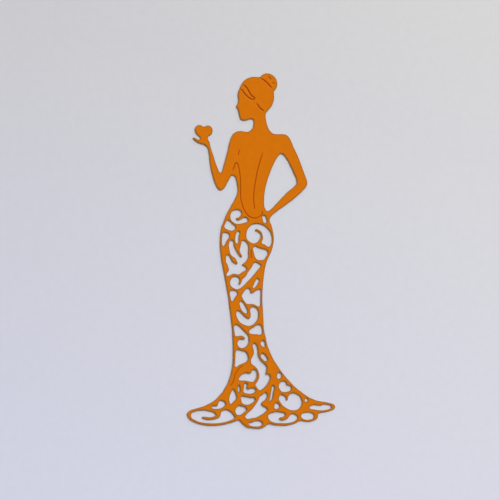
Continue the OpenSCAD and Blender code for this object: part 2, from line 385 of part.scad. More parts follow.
shoulder_line_px = [
    [234.0, 130.0], [236.0, 134.0], [239.2, 142.0], shoulder_press_top_px, [238.8, 152.4],
    shoulder_press_foot_px, hook_px];
hook_line_px = [
    hook_px, [235.2, 163.9], [234.4, 166.2], [233.0, 169.2], [232.3, 175.9], [232.0, 179.0]];
neckline_px = [
    hook_px, [237.7, 163.8], [238.8, 167.0], [239.5, 171.0], [240.2, 176.8],
    [240.5, 184.0], [240.5, 192.0], [240.9, 199.0], [241.6, 202.0], waist_fork_px,
    [245.6, 212.2], [248.9, 216.0], [252.8, 217.7], [256.1, 217.9], [259.0, 216.7],
    [261.6, 214.6], neckline_press_end_px, [263.6, 209.0], [266.5, 206.0]];
waist_line_px = [[228.0, 205.0], [233.0, 206.0], [238.0, 206.8], waist_fork_px];
armhole_px = [[290.0, 132.8], [287.2, 137.2], [283.8, 143.0], [281.6, 150.5], [281.2, 157.5]];
wrist_line_px = [[266.8, 208.5], [267.6, 212.5], [268.7, 217.0], [269.7, 220.4], [272.0, 221.6]];
heart_line_px = [
    [192.0, 135.5], [196.2, 137.0], [198.2, 138.1], [199.8, 138.8], [203.6, 140.2],
    [207.7, 138.3], [210.5, 138.6]];
hip_line_px = [
    [217.0, 262.5], [226.6, 261.8], [231.0, 265.5], [238.5, 266.0], [241.0, 260.5],
    [245.0, 252.5], [256.5, 252.0], [262.0, 255.0], [273.0, 256.0]];
thigh_line_px = [
    [222.0, 284.5], [232.0, 284.0], [238.5, 286.6], [243.0, 283.2], [247.2, 278.5],
    [255.6, 283.2], [266.0, 284.5]];
knee_line_px = [
    [226.0, 318.0], [239.5, 318.2], [243.0, 320.5], [251.0, 322.0], [255.5, 316.5],
    [267.0, 313.5]];
calf_line_px = [
    [222.5, 388.0], [226.0, 387.6], train_press_start_px, [230.5, 385.1], [232.3, 383.0],
    medallion_fork_px, [234.3, 377.6], [234.8, 374.8], [235.8, 372.8], ring_turn_px, ring_fork_px,
    [239.7, 367.4], [240.0, 365.8], [240.0, 363.0], [247.0, 359.2], [252.8, 360.5], vine_fork_px,
    [264.0, 357.8], [276.0, 357.0]];
medallion_line_px = [
    medallion_fork_px, [236.2, 383.8], [238.4, 386.8], [238.7, 391.0], [238.6, 399.0],
    [238.4, 408.5], [239.0, 413.0], [239.4, 418.0], [239.2, 424.0]];
vine_path_px = [
    vine_fork_px, [262.0, 368.0], [262.5, 378.0], [262.5, 387.0], [264.3, 395.6],
    [262.0, 399.5], [259.0, 404.0]];
left_loop_line_px = [
    [202.5, 401.5], [203.8, 408.5], [204.2, 413.5], [199.5, 414.5], [199.0, 418.5],
    [203.0, 421.0], [212.0, 421.7], [222.0, 420.0], [230.0, 417.5], [231.2, 421.0],
    [232.0, 426.5]];
middle_loop_left_px = [[247.5, 416.5], [244.5, 419.0], [242.5, 422.6], [240.5, 427.0]];
middle_loop_right_px = [[262.0, 411.8], [264.8, 415.6], [270.2, 417.6], loops_fork_px];
loops_line_px = [loops_fork_px, [270.2, 421.6], [269.6, 428.0]];
right_loop_line_px = [
    loops_fork_px, [276.0, 419.5], [281.5, 421.8], [287.0, 421.2], [291.5, 418.5],
    [295.5, 417.8], [298.0, 420.0], [300.0, 424.0]];
tip_line_px = [
    [317.5, 398.0], [314.6, 407.2], [313.0, 408.5], [310.0, 415.5], [304.5, 416.5],
    [300.8, 424.0]];

// Corners that close a region's zone, well outside the card or inside a cut-out
bun_corners_px = [[282.0, 93.6], [282.0, 68.0], [258.3, 68.0]];
hair_right_corners_px = [[280.0, 115.7], [280.0, 93.6]];
hair_left_corners_px = [[258.3, 70.0], [240.6, 70.0]];
face_corners_px = [[232.0, 88.8], [232.0, 124.0]];
throat_corners_px = [[249.0, 127.0], [240.0, 127.0]];
arm_gap_corner_px = [[272.0, 180.0]];
nape_corner_px = [[276.0, 125.0]];
raised_arm_corners_px = [[232.0, 200.0], [185.0, 200.0], [185.0, 135.5]];
inner_arm_corners_px = [[215.0, 138.0], [225.0, 125.0]];
heart_corners_px = [[218.0, 138.6], [218.0, 118.0], [185.0, 118.0]];
bent_arm_corners_px = [[315.0, 221.6], [315.0, 132.8]];
bodice_corner_px = [[230.5, 192.0]];
hip_right_corner_px = [[278.0, 235.0]];
hip_left_corner_px = [[214.0, 235.0]];
train_vine_corner_px = [[254.0, 411.0]];
hem_dip_corner_px = [[239.2, 428.0]];
train_left_corner_px = [[205.0, 390.0]];
left_loop_corners_px = [[232.0, 432.0], [180.0, 432.0], [180.0, 401.5]];
middle_loop_corners_px = [[269.6, 434.0], [240.5, 434.0]];
middle_loop_vine_corner_px = [[255.0, 414.5]];
right_loop_corners_px = [[300.0, 432.0], [269.6, 432.0]];
train_right_corner_px = [[317.5, 357.0]];
tip_corners_px = [[300.8, 432.0], [340.0, 432.0], [340.0, 398.0]];

// Pressed lines that no region ends at
spine_line_px = [
    [263.9, 148.2], [262.5, 153.0], [260.5, 159.8], [259.1, 164.4], [257.8, 169.2],
    [256.5, 175.5], [255.4, 181.4], [254.4, 188.2], [253.7, 193.5], [253.7, 199.5], [254.2, 205.0],
    [254.7, 209.5]];
hip_vein_px = [[251.3, 248.5], [251.2, 254.0], [251.6, 258.8]];
ring_top_px = [ring_turn_px, ring_fork_px, [240.5, 367.0], [242.3, 366.1], [244.8, 365.5]];

// Direction of a smooth curve at b, when it comes from a and goes on to c
function direction(a, b, c) =
    let (before = norm(b - a), after = norm(c - b))
    ((b - a) / before * after + (c - b) / after * before) / (before + after);

// Points of the curve from b up to but not at c, with its neighbours a and d
function span(a, b, c, d, sharp_b, sharp_c) =
    let (
        chord = norm(c - b),
        leave = (sharp_b ? (c - b) / chord : direction(a, b, c)) * chord,
        arrive = (sharp_c ? (c - b) / chord : direction(b, c, d)) * chord)
    [for (k = [0 : curve_steps - 1]) let (u = k / curve_steps, v = 1 - u)
        v * v * (1 + 2 * u) * b + u * v * v * leave + u * u * (1 + 2 * v) * c - u * u * v * arrive];

function place(p) = [p.x, p.y];

function total(list) = list * [for (value = list) 1];

// Points of a closed table with the shadow taken off, where the card's edge faces the way it falls.
// The card is inside the curve where card_side is 1 and outside it where card_side is -1.
function unshaded(table, card_side) =
    let (
        n = len(table),
        area = total([for (i = [0 : n - 1]) cross(place(table[i]), place(table[(i + 1) % n]))]))
    [for (i = [0 : n - 1])
        let (
            along = place(table[(i + 1) % n]) - place(table[(i + n - 1) % n]),
            outward = card_side * sign(area) * [along.y, -along.x] / norm(along))
        concat(place(table[i]) - max(0, outward * shadow_px) * outward, [table[i][2]])];

// Closed smooth curve through every point of a table
function ring(table) =
    let (n = len(table), at = [for (p = table) place(p)])
    [for (i = [0 : n - 1])
        each span(at[(i + n - 1) % n], at[i], at[(i + 1) % n], at[(i + 2) % n],
            table[i][2] == 1, table[(i + 1) % n][2] == 1)];

// Where in a table the point nearest to another one is
function nearest(table, point) =
    let (gaps = [for (p = table) norm(p - point)])
    [for (i = [0 : len(table) - 1]) if (gaps[i] == min(gaps)) i][0];

// Open smooth curve through the points of a table, from one of them to another
function stretch(table, from, to) =
    let (
        end = len(table) - 1,
        first = nearest(table, from),
        last = nearest(table, to),
        at = [for (p = table) place(p)])
    concat(
        [for (i = [first : last - 1])
            each span(at[max(i - 1, 0)], at[i], at[i + 1], at[min(i + 2, end)],
                i == 0, i + 1 == end)],
        [at[last]]);
function finish(table) = table[len(table) - 1];
function line(table) = stretch(table, table[0], finish(table));
function joined(list, next) = concat(list, [for (i = [1 : len(next) - 1]) next[i]]);
function backwards(list) = [for (i = [len(list) - 1 : -1 : 0]) list[i]];
function on_card(list) =
    [for (p = list) [p.x - centre_px.x, centre_px.y - p.y] * mm_per_px];

// Step of a quarter of a pressed line's width from a point straight away from another one
function past(point, other) = point + (point - other) / norm(point - other) * press_width / 4;

// Outline of a pressed line: the band of press_width along it, run on a little past both ends
function band(list) =
    let (
        path = concat(
            [past(list[0], list[1])], list, [past(finish(list), list[len(list) - 2])]),
        end = len(path) - 1,
        side = [for (i = [0 : end])
            let (along = path[min(i + 1, end)] - path[max(i - 1, 0)])
            [-along.y, along.x] / norm(along) * press_width / 2])
    concat([for (i = [0 : end]) path[i] + side[i]], backwards([for (i = [0 : end]) path[i] - side[i]]));

// Lines that the die presses, and parts of lines shared by more than two regions
bun_line = line(bun_line_px);
lock_top = line(lock_top_px);
lock_bottom = line(lock_bottom_px);
hair_line = line(hair_line_px);
hair_line_face = stretch(hair_line_px, lock_tip_px, nape_fork_px);
hair_line_back = stretch(hair_line_px, nape_fork_px, finish(hair_line_px));
jaw_line = line(jaw_line_px);
shoulder_line = line(shoulder_line_px);
shoulder_press = stretch(shoulder_line_px, shoulder_press_top_px, shoulder_press_foot_px);
hook_line = line(hook_line_px);
neckline = line(neckline_px);
neckline_press = stretch(neckline_px, hook_px, neckline_press_end_px);
neckline_side = stretch(neckline_px, hook_px, waist_fork_px);
neckline_seat = stretch(neckline_px, waist_fork_px, finish(neckline_px));
waist_line = line(waist_line_px);
armhole = line(armhole_px);
wrist_line = line(wrist_line_px);
heart_line = line(heart_line_px);
hip_line = line(hip_line_px);
thigh_line = line(thigh_line_px);
knee_line = line(knee_line_px);
calf_line = line(calf_line_px);
calf_line_train = stretch(calf_line_px, calf_line_px[0], medallion_fork_px);
calf_line_medallion = stretch(calf_line_px, medallion_fork_px, vine_fork_px);
calf_line_right = stretch(calf_line_px, vine_fork_px, finish(calf_line_px));
train_press = joined(
    stretch(calf_line_px, train_press_start_px, ring_fork_px),
    stretch(ring_top_px, ring_fork_px, finish(ring_top_px)));
medallion_line = line(medallion_line_px);
vine_path = line(vine_path_px);
left_loop_line = line(left_loop_line_px);
middle_loop_left = line(middle_loop_left_px);
middle_loop_right = line(middle_loop_right_px);
loops_line = line(loops_line_px);
right_loop_line = line(right_loop_line_px);
tip_line = line(tip_line_px);

// One region of the sheet: the silhouette inside a zone, less its cut-outs and pressed lines
module card_region(zone, cut_outs, pressed_lines) {
    difference() {
        linear_extrude(card_thickness)
            difference() {
                intersection() {
                    polygon(on_card(ring(unshaded(silhouette_px, 1))));
                    polygon(on_card(zone));
                }
                for (cut_out = cut_outs)
                    polygon(on_card(ring(unshaded(cut_out, -1))));
            }
        for (pressed_line = pressed_lines)
            translate([0, 0, card_thickness - press_depth])
                linear_extrude(2 * press_depth)
                    polygon(band(on_card(pressed_line)));
    }
}

module hair_bun() {
    color("darkorange")
        card_region(
            concat(bun_line, bun_corners_px),
            [], [bun_line]);
}

module hair() {
    color("darkorange")
        card_region(
            concat(lock_top, hair_line, hair_right_corners_px, backwards(bun_line),
                hair_left_corners_px),
            [], [bun_line, lock_top, hair_line]);
}

module fringe_lock() {
    color("darkorange")
        card_region(concat(lock_top, backwards(lock_bottom)), [], [lock_top, lock_bottom]);
}

module face() {
    color("orange")
        card_region(
            concat(backwards(lock_bottom), face_corners_px, jaw_line, backwards(hair_line_face)),
            [], [lock_bottom, hair_line_face]);
}

module back() {
    color("orange")
        card_region(
            concat(backwards(jaw_line), throat_corners_px, shoulder_line, neckline,
                arm_gap_corner_px, backwards(armhole), nape_corner_px, backwards(hair_line_back)),
            [arm_gap_px], [hair_line, shoulder_press, neckline_press, line(spine_line_px)]);
}

module raised_arm() {
    color("orange")
        card_region(
            concat(shoulder_line, hook_line, raised_arm_corners_px, heart_line,
                inner_arm_corners_px),
            [], [shoulder_press, hook_line]);
}

module heart() {
    color("darkorange")
        card_region(concat(heart_line, heart_corners_px), [], []);
}

module bent_arm() {
    color("orange")
        card_region(
            concat(armhole, arm_gap_corner_px, wrist_line, bent_arm_corners_px),
            [arm_gap_px], []);
}

module bodice_side() {
    color("darkorange")
        card_region(
            concat(neckline_side, backwards(waist_line), bodice_corner_px, backwards(hook_line)),
            [], [hook_line, neckline_press]);
}

module hip_lace() {
    color("darkorange")
        card_region(
            concat(waist_line, neckline_seat, wrist_line, hip_right_corner_px,
                backwards(hip_line), hip_left_corner_px),
            [arm_gap_px, hip_scroll_px, hip_leaf_px, hip_eye_px, hip_spiral_px, hip_petal_px,
                hip_sliver_px, hip_shell_px, thigh_branch_px],
            [neckline_press, line(hip_vein_px)]);
}

module thigh_lace() {
    color("darkorange")
        card_region(
            concat(hip_line, backwards(thigh_line)),
            [hip_shell_px, thigh_branch_px, thigh_vine_px, thigh_bud_px], [line(hip_vein_px)]);
}

module knee_lace() {
    color("darkorange")
        card_region(
            concat(thigh_line, backwards(knee_line)),
            [thigh_vine_px, thigh_bud_px, knee_wing_px, knee_drop_px, knee_seed_px, knee_swirl_px],
            []);
}

module calf_lace() {
    color("darkorange")
        card_region(
            concat(knee_line, backwards(calf_line)),
            [knee_swirl_px, calf_hook_px, calf_leaf_px, calf_seed_px, calf_wedge_px, hem_vine_px,
                calf_bean_px],
            [train_press]);
}

module hem_medallion() {
    color("darkorange")
        card_region(
            concat(calf_line_medallion, vine_path, train_vine_corner_px, middle_loop_left,
                backwards(medallion_line)),
            [calf_wedge_px, hem_vine_px, medallion_top_px, medallion_hook_px, medallion_bowl_px,
                medallion_slit_px, medallion_foot_px, train_vine_px],
            [train_press]);
}

module train_left() {
    color("darkorange")
        card_region(
            concat(calf_line_train, medallion_line, hem_dip_corner_px,
                backwards(left_loop_line), train_left_corner_px),
            [medallion_slit_px, medallion_foot_px, train_leaf_px, train_curl_px, left_loop_px],
            [train_press]);
}

module hem_left_loop() {
    color("darkorange")
        card_region(
            concat(left_loop_line, left_loop_corners_px),
            [left_loop_px], []);
}

module hem_middle_loop() {
    color("darkorange")
        card_region(
            concat(middle_loop_right, loops_line, middle_loop_corners_px,
                backwards(middle_loop_left), middle_loop_vine_corner_px),
            [train_vine_px, middle_loop_px, right_loop_px], []);
}

module hem_right_loop() {
    color("darkorange")
        card_region(
            concat(right_loop_line, right_loop_corners_px, backwards(loops_line)),
            [right_loop_px], []);
}

module train_right() {
    color("darkorange")
        card_region(
            concat(calf_line_right, train_right_corner_px, tip_line, backwards(right_loop_line),
                backwards(middle_loop_right), backwards(vine_path)),
            [hem_vine_px, calf_bean_px, train_vine_px, train_blade_px, train_eye_px,
                train_petal_px, train_heart_px, train_dot_px, right_loop_px, train_oval_px,
                train_pinhole_px, train_blade_tip_px],
            []);
}

module train_tip() {
    color("darkorange")
        card_region(
            concat(tip_line, tip_corners_px),
            [train_oval_px, train_blade_tip_px], []);
}

hair_bun();
hair();
fringe_lock();
face();
back();
raised_arm();
heart();
bent_arm();
bodice_side();
hip_lace();
thigh_lace();
knee_lace();
calf_lace();
hem_medallion();
train_left();
hem_left_loop();
hem_middle_loop();
hem_right_loop();
train_right();
train_tip();
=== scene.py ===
import math

import bmesh
import bpy
import numpy as np
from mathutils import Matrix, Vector
from mathutils.geometry import delaunay_2d_cdt


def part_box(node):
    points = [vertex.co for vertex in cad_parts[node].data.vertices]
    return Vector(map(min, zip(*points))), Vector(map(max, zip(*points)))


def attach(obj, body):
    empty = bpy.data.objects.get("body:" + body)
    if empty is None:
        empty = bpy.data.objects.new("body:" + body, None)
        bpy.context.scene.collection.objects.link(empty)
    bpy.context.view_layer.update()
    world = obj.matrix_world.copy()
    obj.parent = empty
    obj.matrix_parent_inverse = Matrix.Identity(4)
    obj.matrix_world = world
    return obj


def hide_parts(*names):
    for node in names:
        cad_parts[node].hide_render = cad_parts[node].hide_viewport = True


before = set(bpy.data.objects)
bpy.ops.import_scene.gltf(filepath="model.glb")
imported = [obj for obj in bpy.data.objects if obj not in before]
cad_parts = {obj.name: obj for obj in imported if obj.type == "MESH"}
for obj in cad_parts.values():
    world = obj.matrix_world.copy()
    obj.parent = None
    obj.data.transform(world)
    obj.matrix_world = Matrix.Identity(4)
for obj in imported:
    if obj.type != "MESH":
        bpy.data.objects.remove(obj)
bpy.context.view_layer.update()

# Camera
# The card figure lies on a table and is photographed from straight above, upright in the picture.
# Places taken from the photograph are in its pixels, x to the right and y down; 354.7 of them are
# the figure's 118 mm, and the middle of the figure is the origin.
MM = 0.001
FIGURE_HEIGHT = 118 * MM
FIGURE_HEIGHT_PX = 354.7
PIXEL = FIGURE_HEIGHT / FIGURE_HEIGHT_PX
MIDDLE_PX = (261.15, 250.85)
PICTURE_PX = 500


def from_photo(points):
    """Places on the card in metres: (x - middle x, middle y - y) times the length of a pixel."""
    return (np.array(points, float) - MIDDLE_PX) * (PIXEL, -PIXEL)


camera = bpy.data.objects.new("camera", bpy.data.cameras.new("camera"))
camera.data.sensor_width = 36
camera.data.lens = 85
camera.data.clip_start = 0.01
camera_height = PICTURE_PX * PIXEL * camera.data.lens / camera.data.sensor_width
camera.location = (*from_photo((PICTURE_PX / 2, PICTURE_PX / 2)), camera_height)
bpy.context.scene.collection.objects.link(camera)
bpy.context.scene.camera = camera
bpy.context.scene.view_settings.view_transform = "Standard"

# Sheet of card
# One sheet of orange card, 0.4 mm thick. A steel die cuts its outline and the openings of the lace
# in one stroke from the front, and the blade rolls the front rim of every cut a little.
REGIONS = sorted(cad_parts)
CARD_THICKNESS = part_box("back")[1].z
FRONT_RIM = 0.07 * MM
BACK_RIM = 0.025 * MM
CURVE_STEPS = 3
SEAM_STEP = 0.05 * MM
SAME_PLACE = 0.002 * MM
CORNER_TURN = math.radians(50)


def card_back():
    """The sheet's flat back as (places, triangles, region of each): all CAD triangles at z = 0,
    seen from the front, with corners that lie within 2 microns of each other made one."""
    corners, regions = [], []
    for number, name in enumerate(REGIONS):
        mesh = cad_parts[name].data
        xyz = np.empty(3 * len(mesh.vertices), np.float32)
        mesh.vertices.foreach_get("co", xyz)
        loop = np.empty(len(mesh.loops), np.int32)
        mesh.loops.foreach_get("vertex_index", loop)
        triangles = xyz.reshape(-1, 3)[loop].reshape(-1, 3, 3)
        triangles = triangles[np.all(triangles[:, :, 2] < SAME_PLACE, axis=1)]
        corners.append(triangles)
        regions.append(np.full(len(triangles), number, np.int32))
    corners, regions = np.concatenate(corners), np.concatenate(regions)
    back = bpy.data.meshes.new("card back")
    back.from_pydata(corners.reshape(-1, 3), [], np.arange(3 * len(corners)).reshape(-1, 3))
    back.polygons.foreach_set("material_index", regions)
    merged = bmesh.new()
    merged.from_mesh(back)
    bmesh.ops.remove_doubles(merged, verts=merged.verts, dist=SAME_PLACE)
    merged.to_mesh(back)
    merged.free()
    places = np.empty(3 * len(back.vertices))
    back.vertices.foreach_get("co", places)
    loop = np.empty(len(back.loops), np.int64)
    back.loops.foreach_get("vertex_index", loop)
    regions = np.empty(len(back.polygons), np.int64)
    back.polygons.foreach_get("material_index", regions)
    bpy.data.meshes.remove(back)
    return places.reshape(-1, 3)[:, :2], loop.reshape(-1, 3)[:, ::-1], regions


def paired(start, end):
    """For each edge from start to end, which edge runs the other way, or -1 where none does."""
    size = max(start.max(), end.max()) + 1
    there, back = start * size + end, end * size + start
    order = np.argsort(there)
    found = order[np.minimum(np.searchsorted(there[order], back), len(order) - 1)]
    return np.where(there[found] == back, found, -1)


def curve_heading(before, at, after):
    """Way a smooth curve heads at a point: the ways in and out, each weighted by the other's
    length, and whether the curve turns there by more than a corner does."""
    way_in, way_out = at - before, after - at
    length_in = np.linalg.norm(way_in, axis=1, keepdims=True)
    length_out = np.linalg.norm(way_out, axis=1, keepdims=True)
    weighted = way_in / length_in * length_out + way_out / length_out * length_in
    heading = weighted / (length_in + length_out)
    turn = np.sum(way_in * way_out, axis=1, keepdims=True) / (length_in * length_out)
    return heading, turn < math.cos(CORNER_TURN)


def curve_place(u, b, leave, c, arrive):
    """Place at the share u of a cubic from b to c that leaves and arrives with the given ways. With
    v = 1 - u it is v squared (1 + 2 u) b + u squared (1 + 2 v) c + u v squared leave - u squared v
    arrive."""
    v = 1 - u
    between = v * v * (1 + 2 * u) * b + u * u * (1 + 2 * v) * c
    return between + u * v * v * leave - u * u * v * arrive


def left_of(ways):
    """Ways turned a quarter to the left, with a length of 1."""
    return np.stack([-ways[:, 1], ways[:, 0]], axis=1) / np.linalg.norm(ways, axis=1, keepdims=True)


def split(lengths, longest):
    """Edges of the given lengths cut into equal steps no longer than the longest, as (edge, number
    of the step along it, how many it has) for every step."""
    counts = np.ceil(lengths / longest).astype(int)
    edge = np.repeat(np.arange(len(counts)), counts)
    step = np.arange(len(edge)) - np.repeat(np.cumsum(counts) - counts, counts)
    return edge, step[:, None], counts[edge, None]


back_places, back_triangles, triangle_region = card_back()
edge_start = back_triangles.ravel()
edge_end = np.roll(back_triangles, -1, axis=1).ravel()
edge_region = np.repeat(triangle_region, 3)
edge_pair = paired(edge_start, edge_end)

# Cut edges run with the card on their left; seams lie between two regions
is_cut = edge_pair < 0
cut_start, cut_end, cut_region = edge_start[is_cut], edge_end[is_cut], edge_region[is_cut]
is_seam = ~is_cut & (edge_region < edge_region[edge_pair])
seam_regions = np.stack([edge_region[is_seam], edge_region[edge_pair[is_seam]]], axis=1)

# Seams in short straight steps, so that a furrow keeps its shape where it crosses one
seam_foot = back_places[edge_start[is_seam]]
seam_way = back_places[edge_end[is_seam]] - seam_foot
seam, step, steps = split(np.linalg.norm(seam_way, axis=1), SEAM_STEP)
seam_start = seam_foot[seam] + seam_way[seam] * (step / steps)
seam_end = seam_foot[seam] + seam_way[seam] * ((step + 1) / steps)
seam_regions = seam_regions[seam]

# Smooth curve through the cut edges: on each, a cubic from b to c with the headings of both ends
cut_before, cut_after, cut_from = (np.zeros(len(back_places), np.int64) for _ in range(3))
cut_before[cut_end], cut_after[cut_start] = cut_start, cut_end
cut_from[cut_start] = np.arange(len(cut_start))
b, c = back_places[cut_start], back_places[cut_end]
chord = np.linalg.norm(c - b, axis=1, keepdims=True)
leave, sharp_b = curve_heading(back_places[cut_before[cut_start]], b, c)
arrive, sharp_c = curve_heading(b, c, back_places[cut_after[cut_end]])
leave = np.where(sharp_b, c - b, leave * chord)[:, None]
arrive = np.where(sharp_c, c - b, arrive * chord)[:, None]
u = (np.arange(CURVE_STEPS) / CURVE_STEPS)[None, :, None]
cut_curve = curve_place(u, b[:, None], leave, c[:, None], arrive).reshape(-1, 2)
curve_region = np.repeat(cut_region, CURVE_STEPS)
curve_next = np.arange(len(cut_curve)) + 1
curve_next[CURVE_STEPS - 1 :: CURVE_STEPS] = cut_from[cut_end] * CURVE_STEPS
curve_last = np.empty_like(curve_next)
curve_last[curve_next] = np.arange(len(cut_curve))
along = cut_curve[curve_next] - cut_curve[curve_last]
inward = left_of(along)

# Pressed lines
# Blunt rules in the same die press thin lines into the front, which draw the hair, the bare back
# and the gown. The card isn't cut there: its fibres are squeezed into a shallow rounded furrow.
PRESS_DEPTH = 0.16 * MM
PRESS_HALF_WIDTH = 0.34 * MM
# Way from the figure to the lamp, seen from above
TO_LAMP = np.array([0.7, 0.9]) / math.hypot(0.7, 0.9)
# The mesh of a line: its steps, and its rows on each side and past each end, which reach out to
# 1.2 of half its width
PRESS_STEP = 0.1 * MM
PRESS_REACH = 1.2
PRESS_SIDE_ROWS = 7
PRESS_END_ROWS = 9


def pressed_line(points, depth=PRESS_DEPTH, half_width=PRESS_HALF_WIDTH, fade=(0, 0)):
    """A smooth path along a furrow's bottom, with its depth, half its width, and the lengths over
    which it fades in and out. The points are read in the middle of its dark wall, on the side of
    the lamp, a quarter of its width from the bottom. Each span is the cubic of the cut edges."""
    at = from_photo(points) - TO_LAMP * half_width / 2
    ends = np.concatenate([[2 * at[0] - at[1]], at, [2 * at[-1] - at[-2]]])
    heading, _ = curve_heading(ends[:-2], ends[1:-1], ends[2:])
    b, c = at[:-1], at[1:]
    chord = np.linalg.norm(c - b, axis=1, keepdims=True)
    leave, arrive = heading[:-1] * chord, heading[1:] * chord
    span, step, steps = split(chord.ravel(), PRESS_STEP)
    path = curve_place(step / steps, b[span], leave[span], c[span], arrive[span])
    path = np.concatenate([path, at[-1:]])
    return {"path": path, "depth": depth, "half_width": half_width, "fade": fade}


def segment_gap(places, starts, ends):
    """(gap, nearest, share) from places to a set of segments: the distance to the nearest one,
    which one it is, and how far along it the foot of the distance is, from 0 to 1."""
    span = ends - starts
    off = places[:, None] - starts
    share = np.clip(np.sum(off * span, axis=2) / np.sum(span * span, axis=1), 0, 1)
    gap = np.linalg.norm(off - share[:, :, None] * span, axis=2)
    nearest = gap.argmin(axis=1)
    pick = np.arange(len(places)), nearest
    return gap[pick], nearest, share[pick]


def pressed_depth(places, lines):
    """Depth of the front under the flat face: across each line half a cosine wave, faded smoothly
    at its ends, and the deepest line where several meet."""
    depth = np.zeros(len(places))
    for line in lines:
        path, half_width = line["path"], line["half_width"]
        starts, ends = path[:-1], path[1:]
        low, high = path.min(axis=0) - half_width, path.max(axis=0) + half_width
        near = np.flatnonzero(np.all((places > low) & (places < high), axis=1))
        if not len(near):
            continue
        gap, nearest, share = segment_gap(places[near], starts, ends)
        length = np.linalg.norm(ends - starts, axis=1)
        run = np.cumsum(length) - length
        so_far = run[nearest] + share * length[nearest]
        strength = np.ones(len(near))
        for distance, reach in zip((so_far, length.sum() - so_far), line["fade"]):
            if reach:
                risen = np.clip(distance / reach, 0, 1)
                strength *= risen * risen * (3 - 2 * risen)
        wave = (1 + np.cos(np.pi * np.minimum(gap / half_width, 1))) / 2
        depth[near] = np.maximum(depth[near], line["depth"] * strength * wave)
    return depth


def press_places(lines):
    """Places for the mesh along and across pressed lines: rows beside each path out past its sides,
    and as far past its ends."""
    rows = [np.empty((0, 2))]
    for line in lines:
        path, reach = line["path"], PRESS_REACH * line["half_width"]
        past = np.linspace(0, reach, PRESS_END_ROWS + 1)[1:, None]
        first, last = path[0] - path[1], path[-1] - path[-2]
        before = path[0] + past[::-1] * first / np.linalg.norm(first)
        after = path[-1] + past * last / np.linalg.norm(last)
        path = np.concatenate([before, path, after])
        side = left_of(np.gradient(path, axis=0))
        across = np.linspace(-reach, reach, 2 * PRESS_SIDE_ROWS + 1)
        rows.append((path[:, None] + side[:, None] * across[None, :, None]).reshape(-1, 2))
    return np.concatenate(rows)


# Card material
# Dyed-through card of about 320 g a square metre: matt, with a fine tooth, short fibres lying
# every way and a faint cloudiness. Pressed lines are smoother, and darker and redder partly because
# the squeezed card is denser and partly as painted shade in the furrow. The cut rims are rougher,
# and the colour within half a millimetre of every cut is painted browner and darker as painted
# shade along the edges.
CARD_COLOUR = (0.63, 0.161, 0.0008, 1)
PRESSED_AND_FURROW_SHADE_COLOUR = (0.47, 0.09, 0.0006, 1)
RIM_PAINTED_SHADE_COLOUR = (0.34, 0.13, 0.012, 1)
CARD_ROUGHNESS = 0.7
CARD_GLOSS = 0.07
# What the tooth, a pressed line and a cut rim each add to the roughness
TOOTH_ROUGHER, PRESSED_SMOOTHER, RIM_ROUGHER = 0.12, -0.14, 0.12
# Height of the tooth and the fibres together, and how they share it
TOOTH_HEIGHT = 0.02 * MM
TOOTH_PART, FIBRE_PART = 0.6, 0.4
# Noise cells to the metre; those of the fibres are nine times as long as wide, in three lays
CLOUD_SCALE, TOOTH_SCALE, FIBRE_SCALE = 420, 4200, 900
FIBRE_SHAPE = (1, 1 / 9, 1)
FIBRE_TURNS = (24, -38, 81)
FIBRE_CAP, FIBRE_ROUNDING, FIBRE_GAIN = 0.08, 0.04, 4


def node_group(name, inputs, outputs):
    """An empty shader node group with the named sockets, its tree and its two end nodes."""
    tree = bpy.data.node_groups.new(name, "ShaderNodeTree")
    for in_out, sockets in (("INPUT", inputs), ("OUTPUT", outputs)):
        for socket, kind, value in sockets:
            made = tree.interface.new_socket(socket, in_out=in_out, socket_type=kind)
            if value is not None:
                made.default_value = value
    return tree, tree.nodes.new("NodeGroupInput"), tree.nodes.new("NodeGroupOutput")


def math_node(tree, operation, first, second=None, third=None):
    """A Math node in a tree, fed by sockets or plain numbers, and its output."""
    node = tree.nodes.new("ShaderNodeMath")
    node.operation = operation
    for slot, value in enumerate((first, second, third)):
        if isinstance(value, bpy.types.NodeSocket):
            tree.links.new(value, node.inputs[slot])
        elif value is not None:
            node.inputs[slot].default_value = value
    return node.outputs[0]


def noise_node(tree, place, scale, detail, lengths=(1, 1, 1), turn=0):
    """A noise of the given scale per metre, its cells as long along their axes as lengths says and
    turned about z by degrees."""
    mapping = tree.nodes.new("ShaderNodeMapping")
    mapping.vector_type = "TEXTURE"
    mapping.inputs["Rotation"].default_value = (0, 0, math.radians(turn))
    mapping.inputs["Scale"].default_value = lengths
    tree.links.new(place, mapping.inputs["Vector"])
    noise = tree.nodes.new("ShaderNodeTexNoise")
    noise.inputs["Scale"].default_value = scale
    noise.inputs["Detail"].default_value = detail
    tree.links.new(mapping.outputs["Vector"], noise.inputs["Vector"])
    return noise.outputs["Fac"]


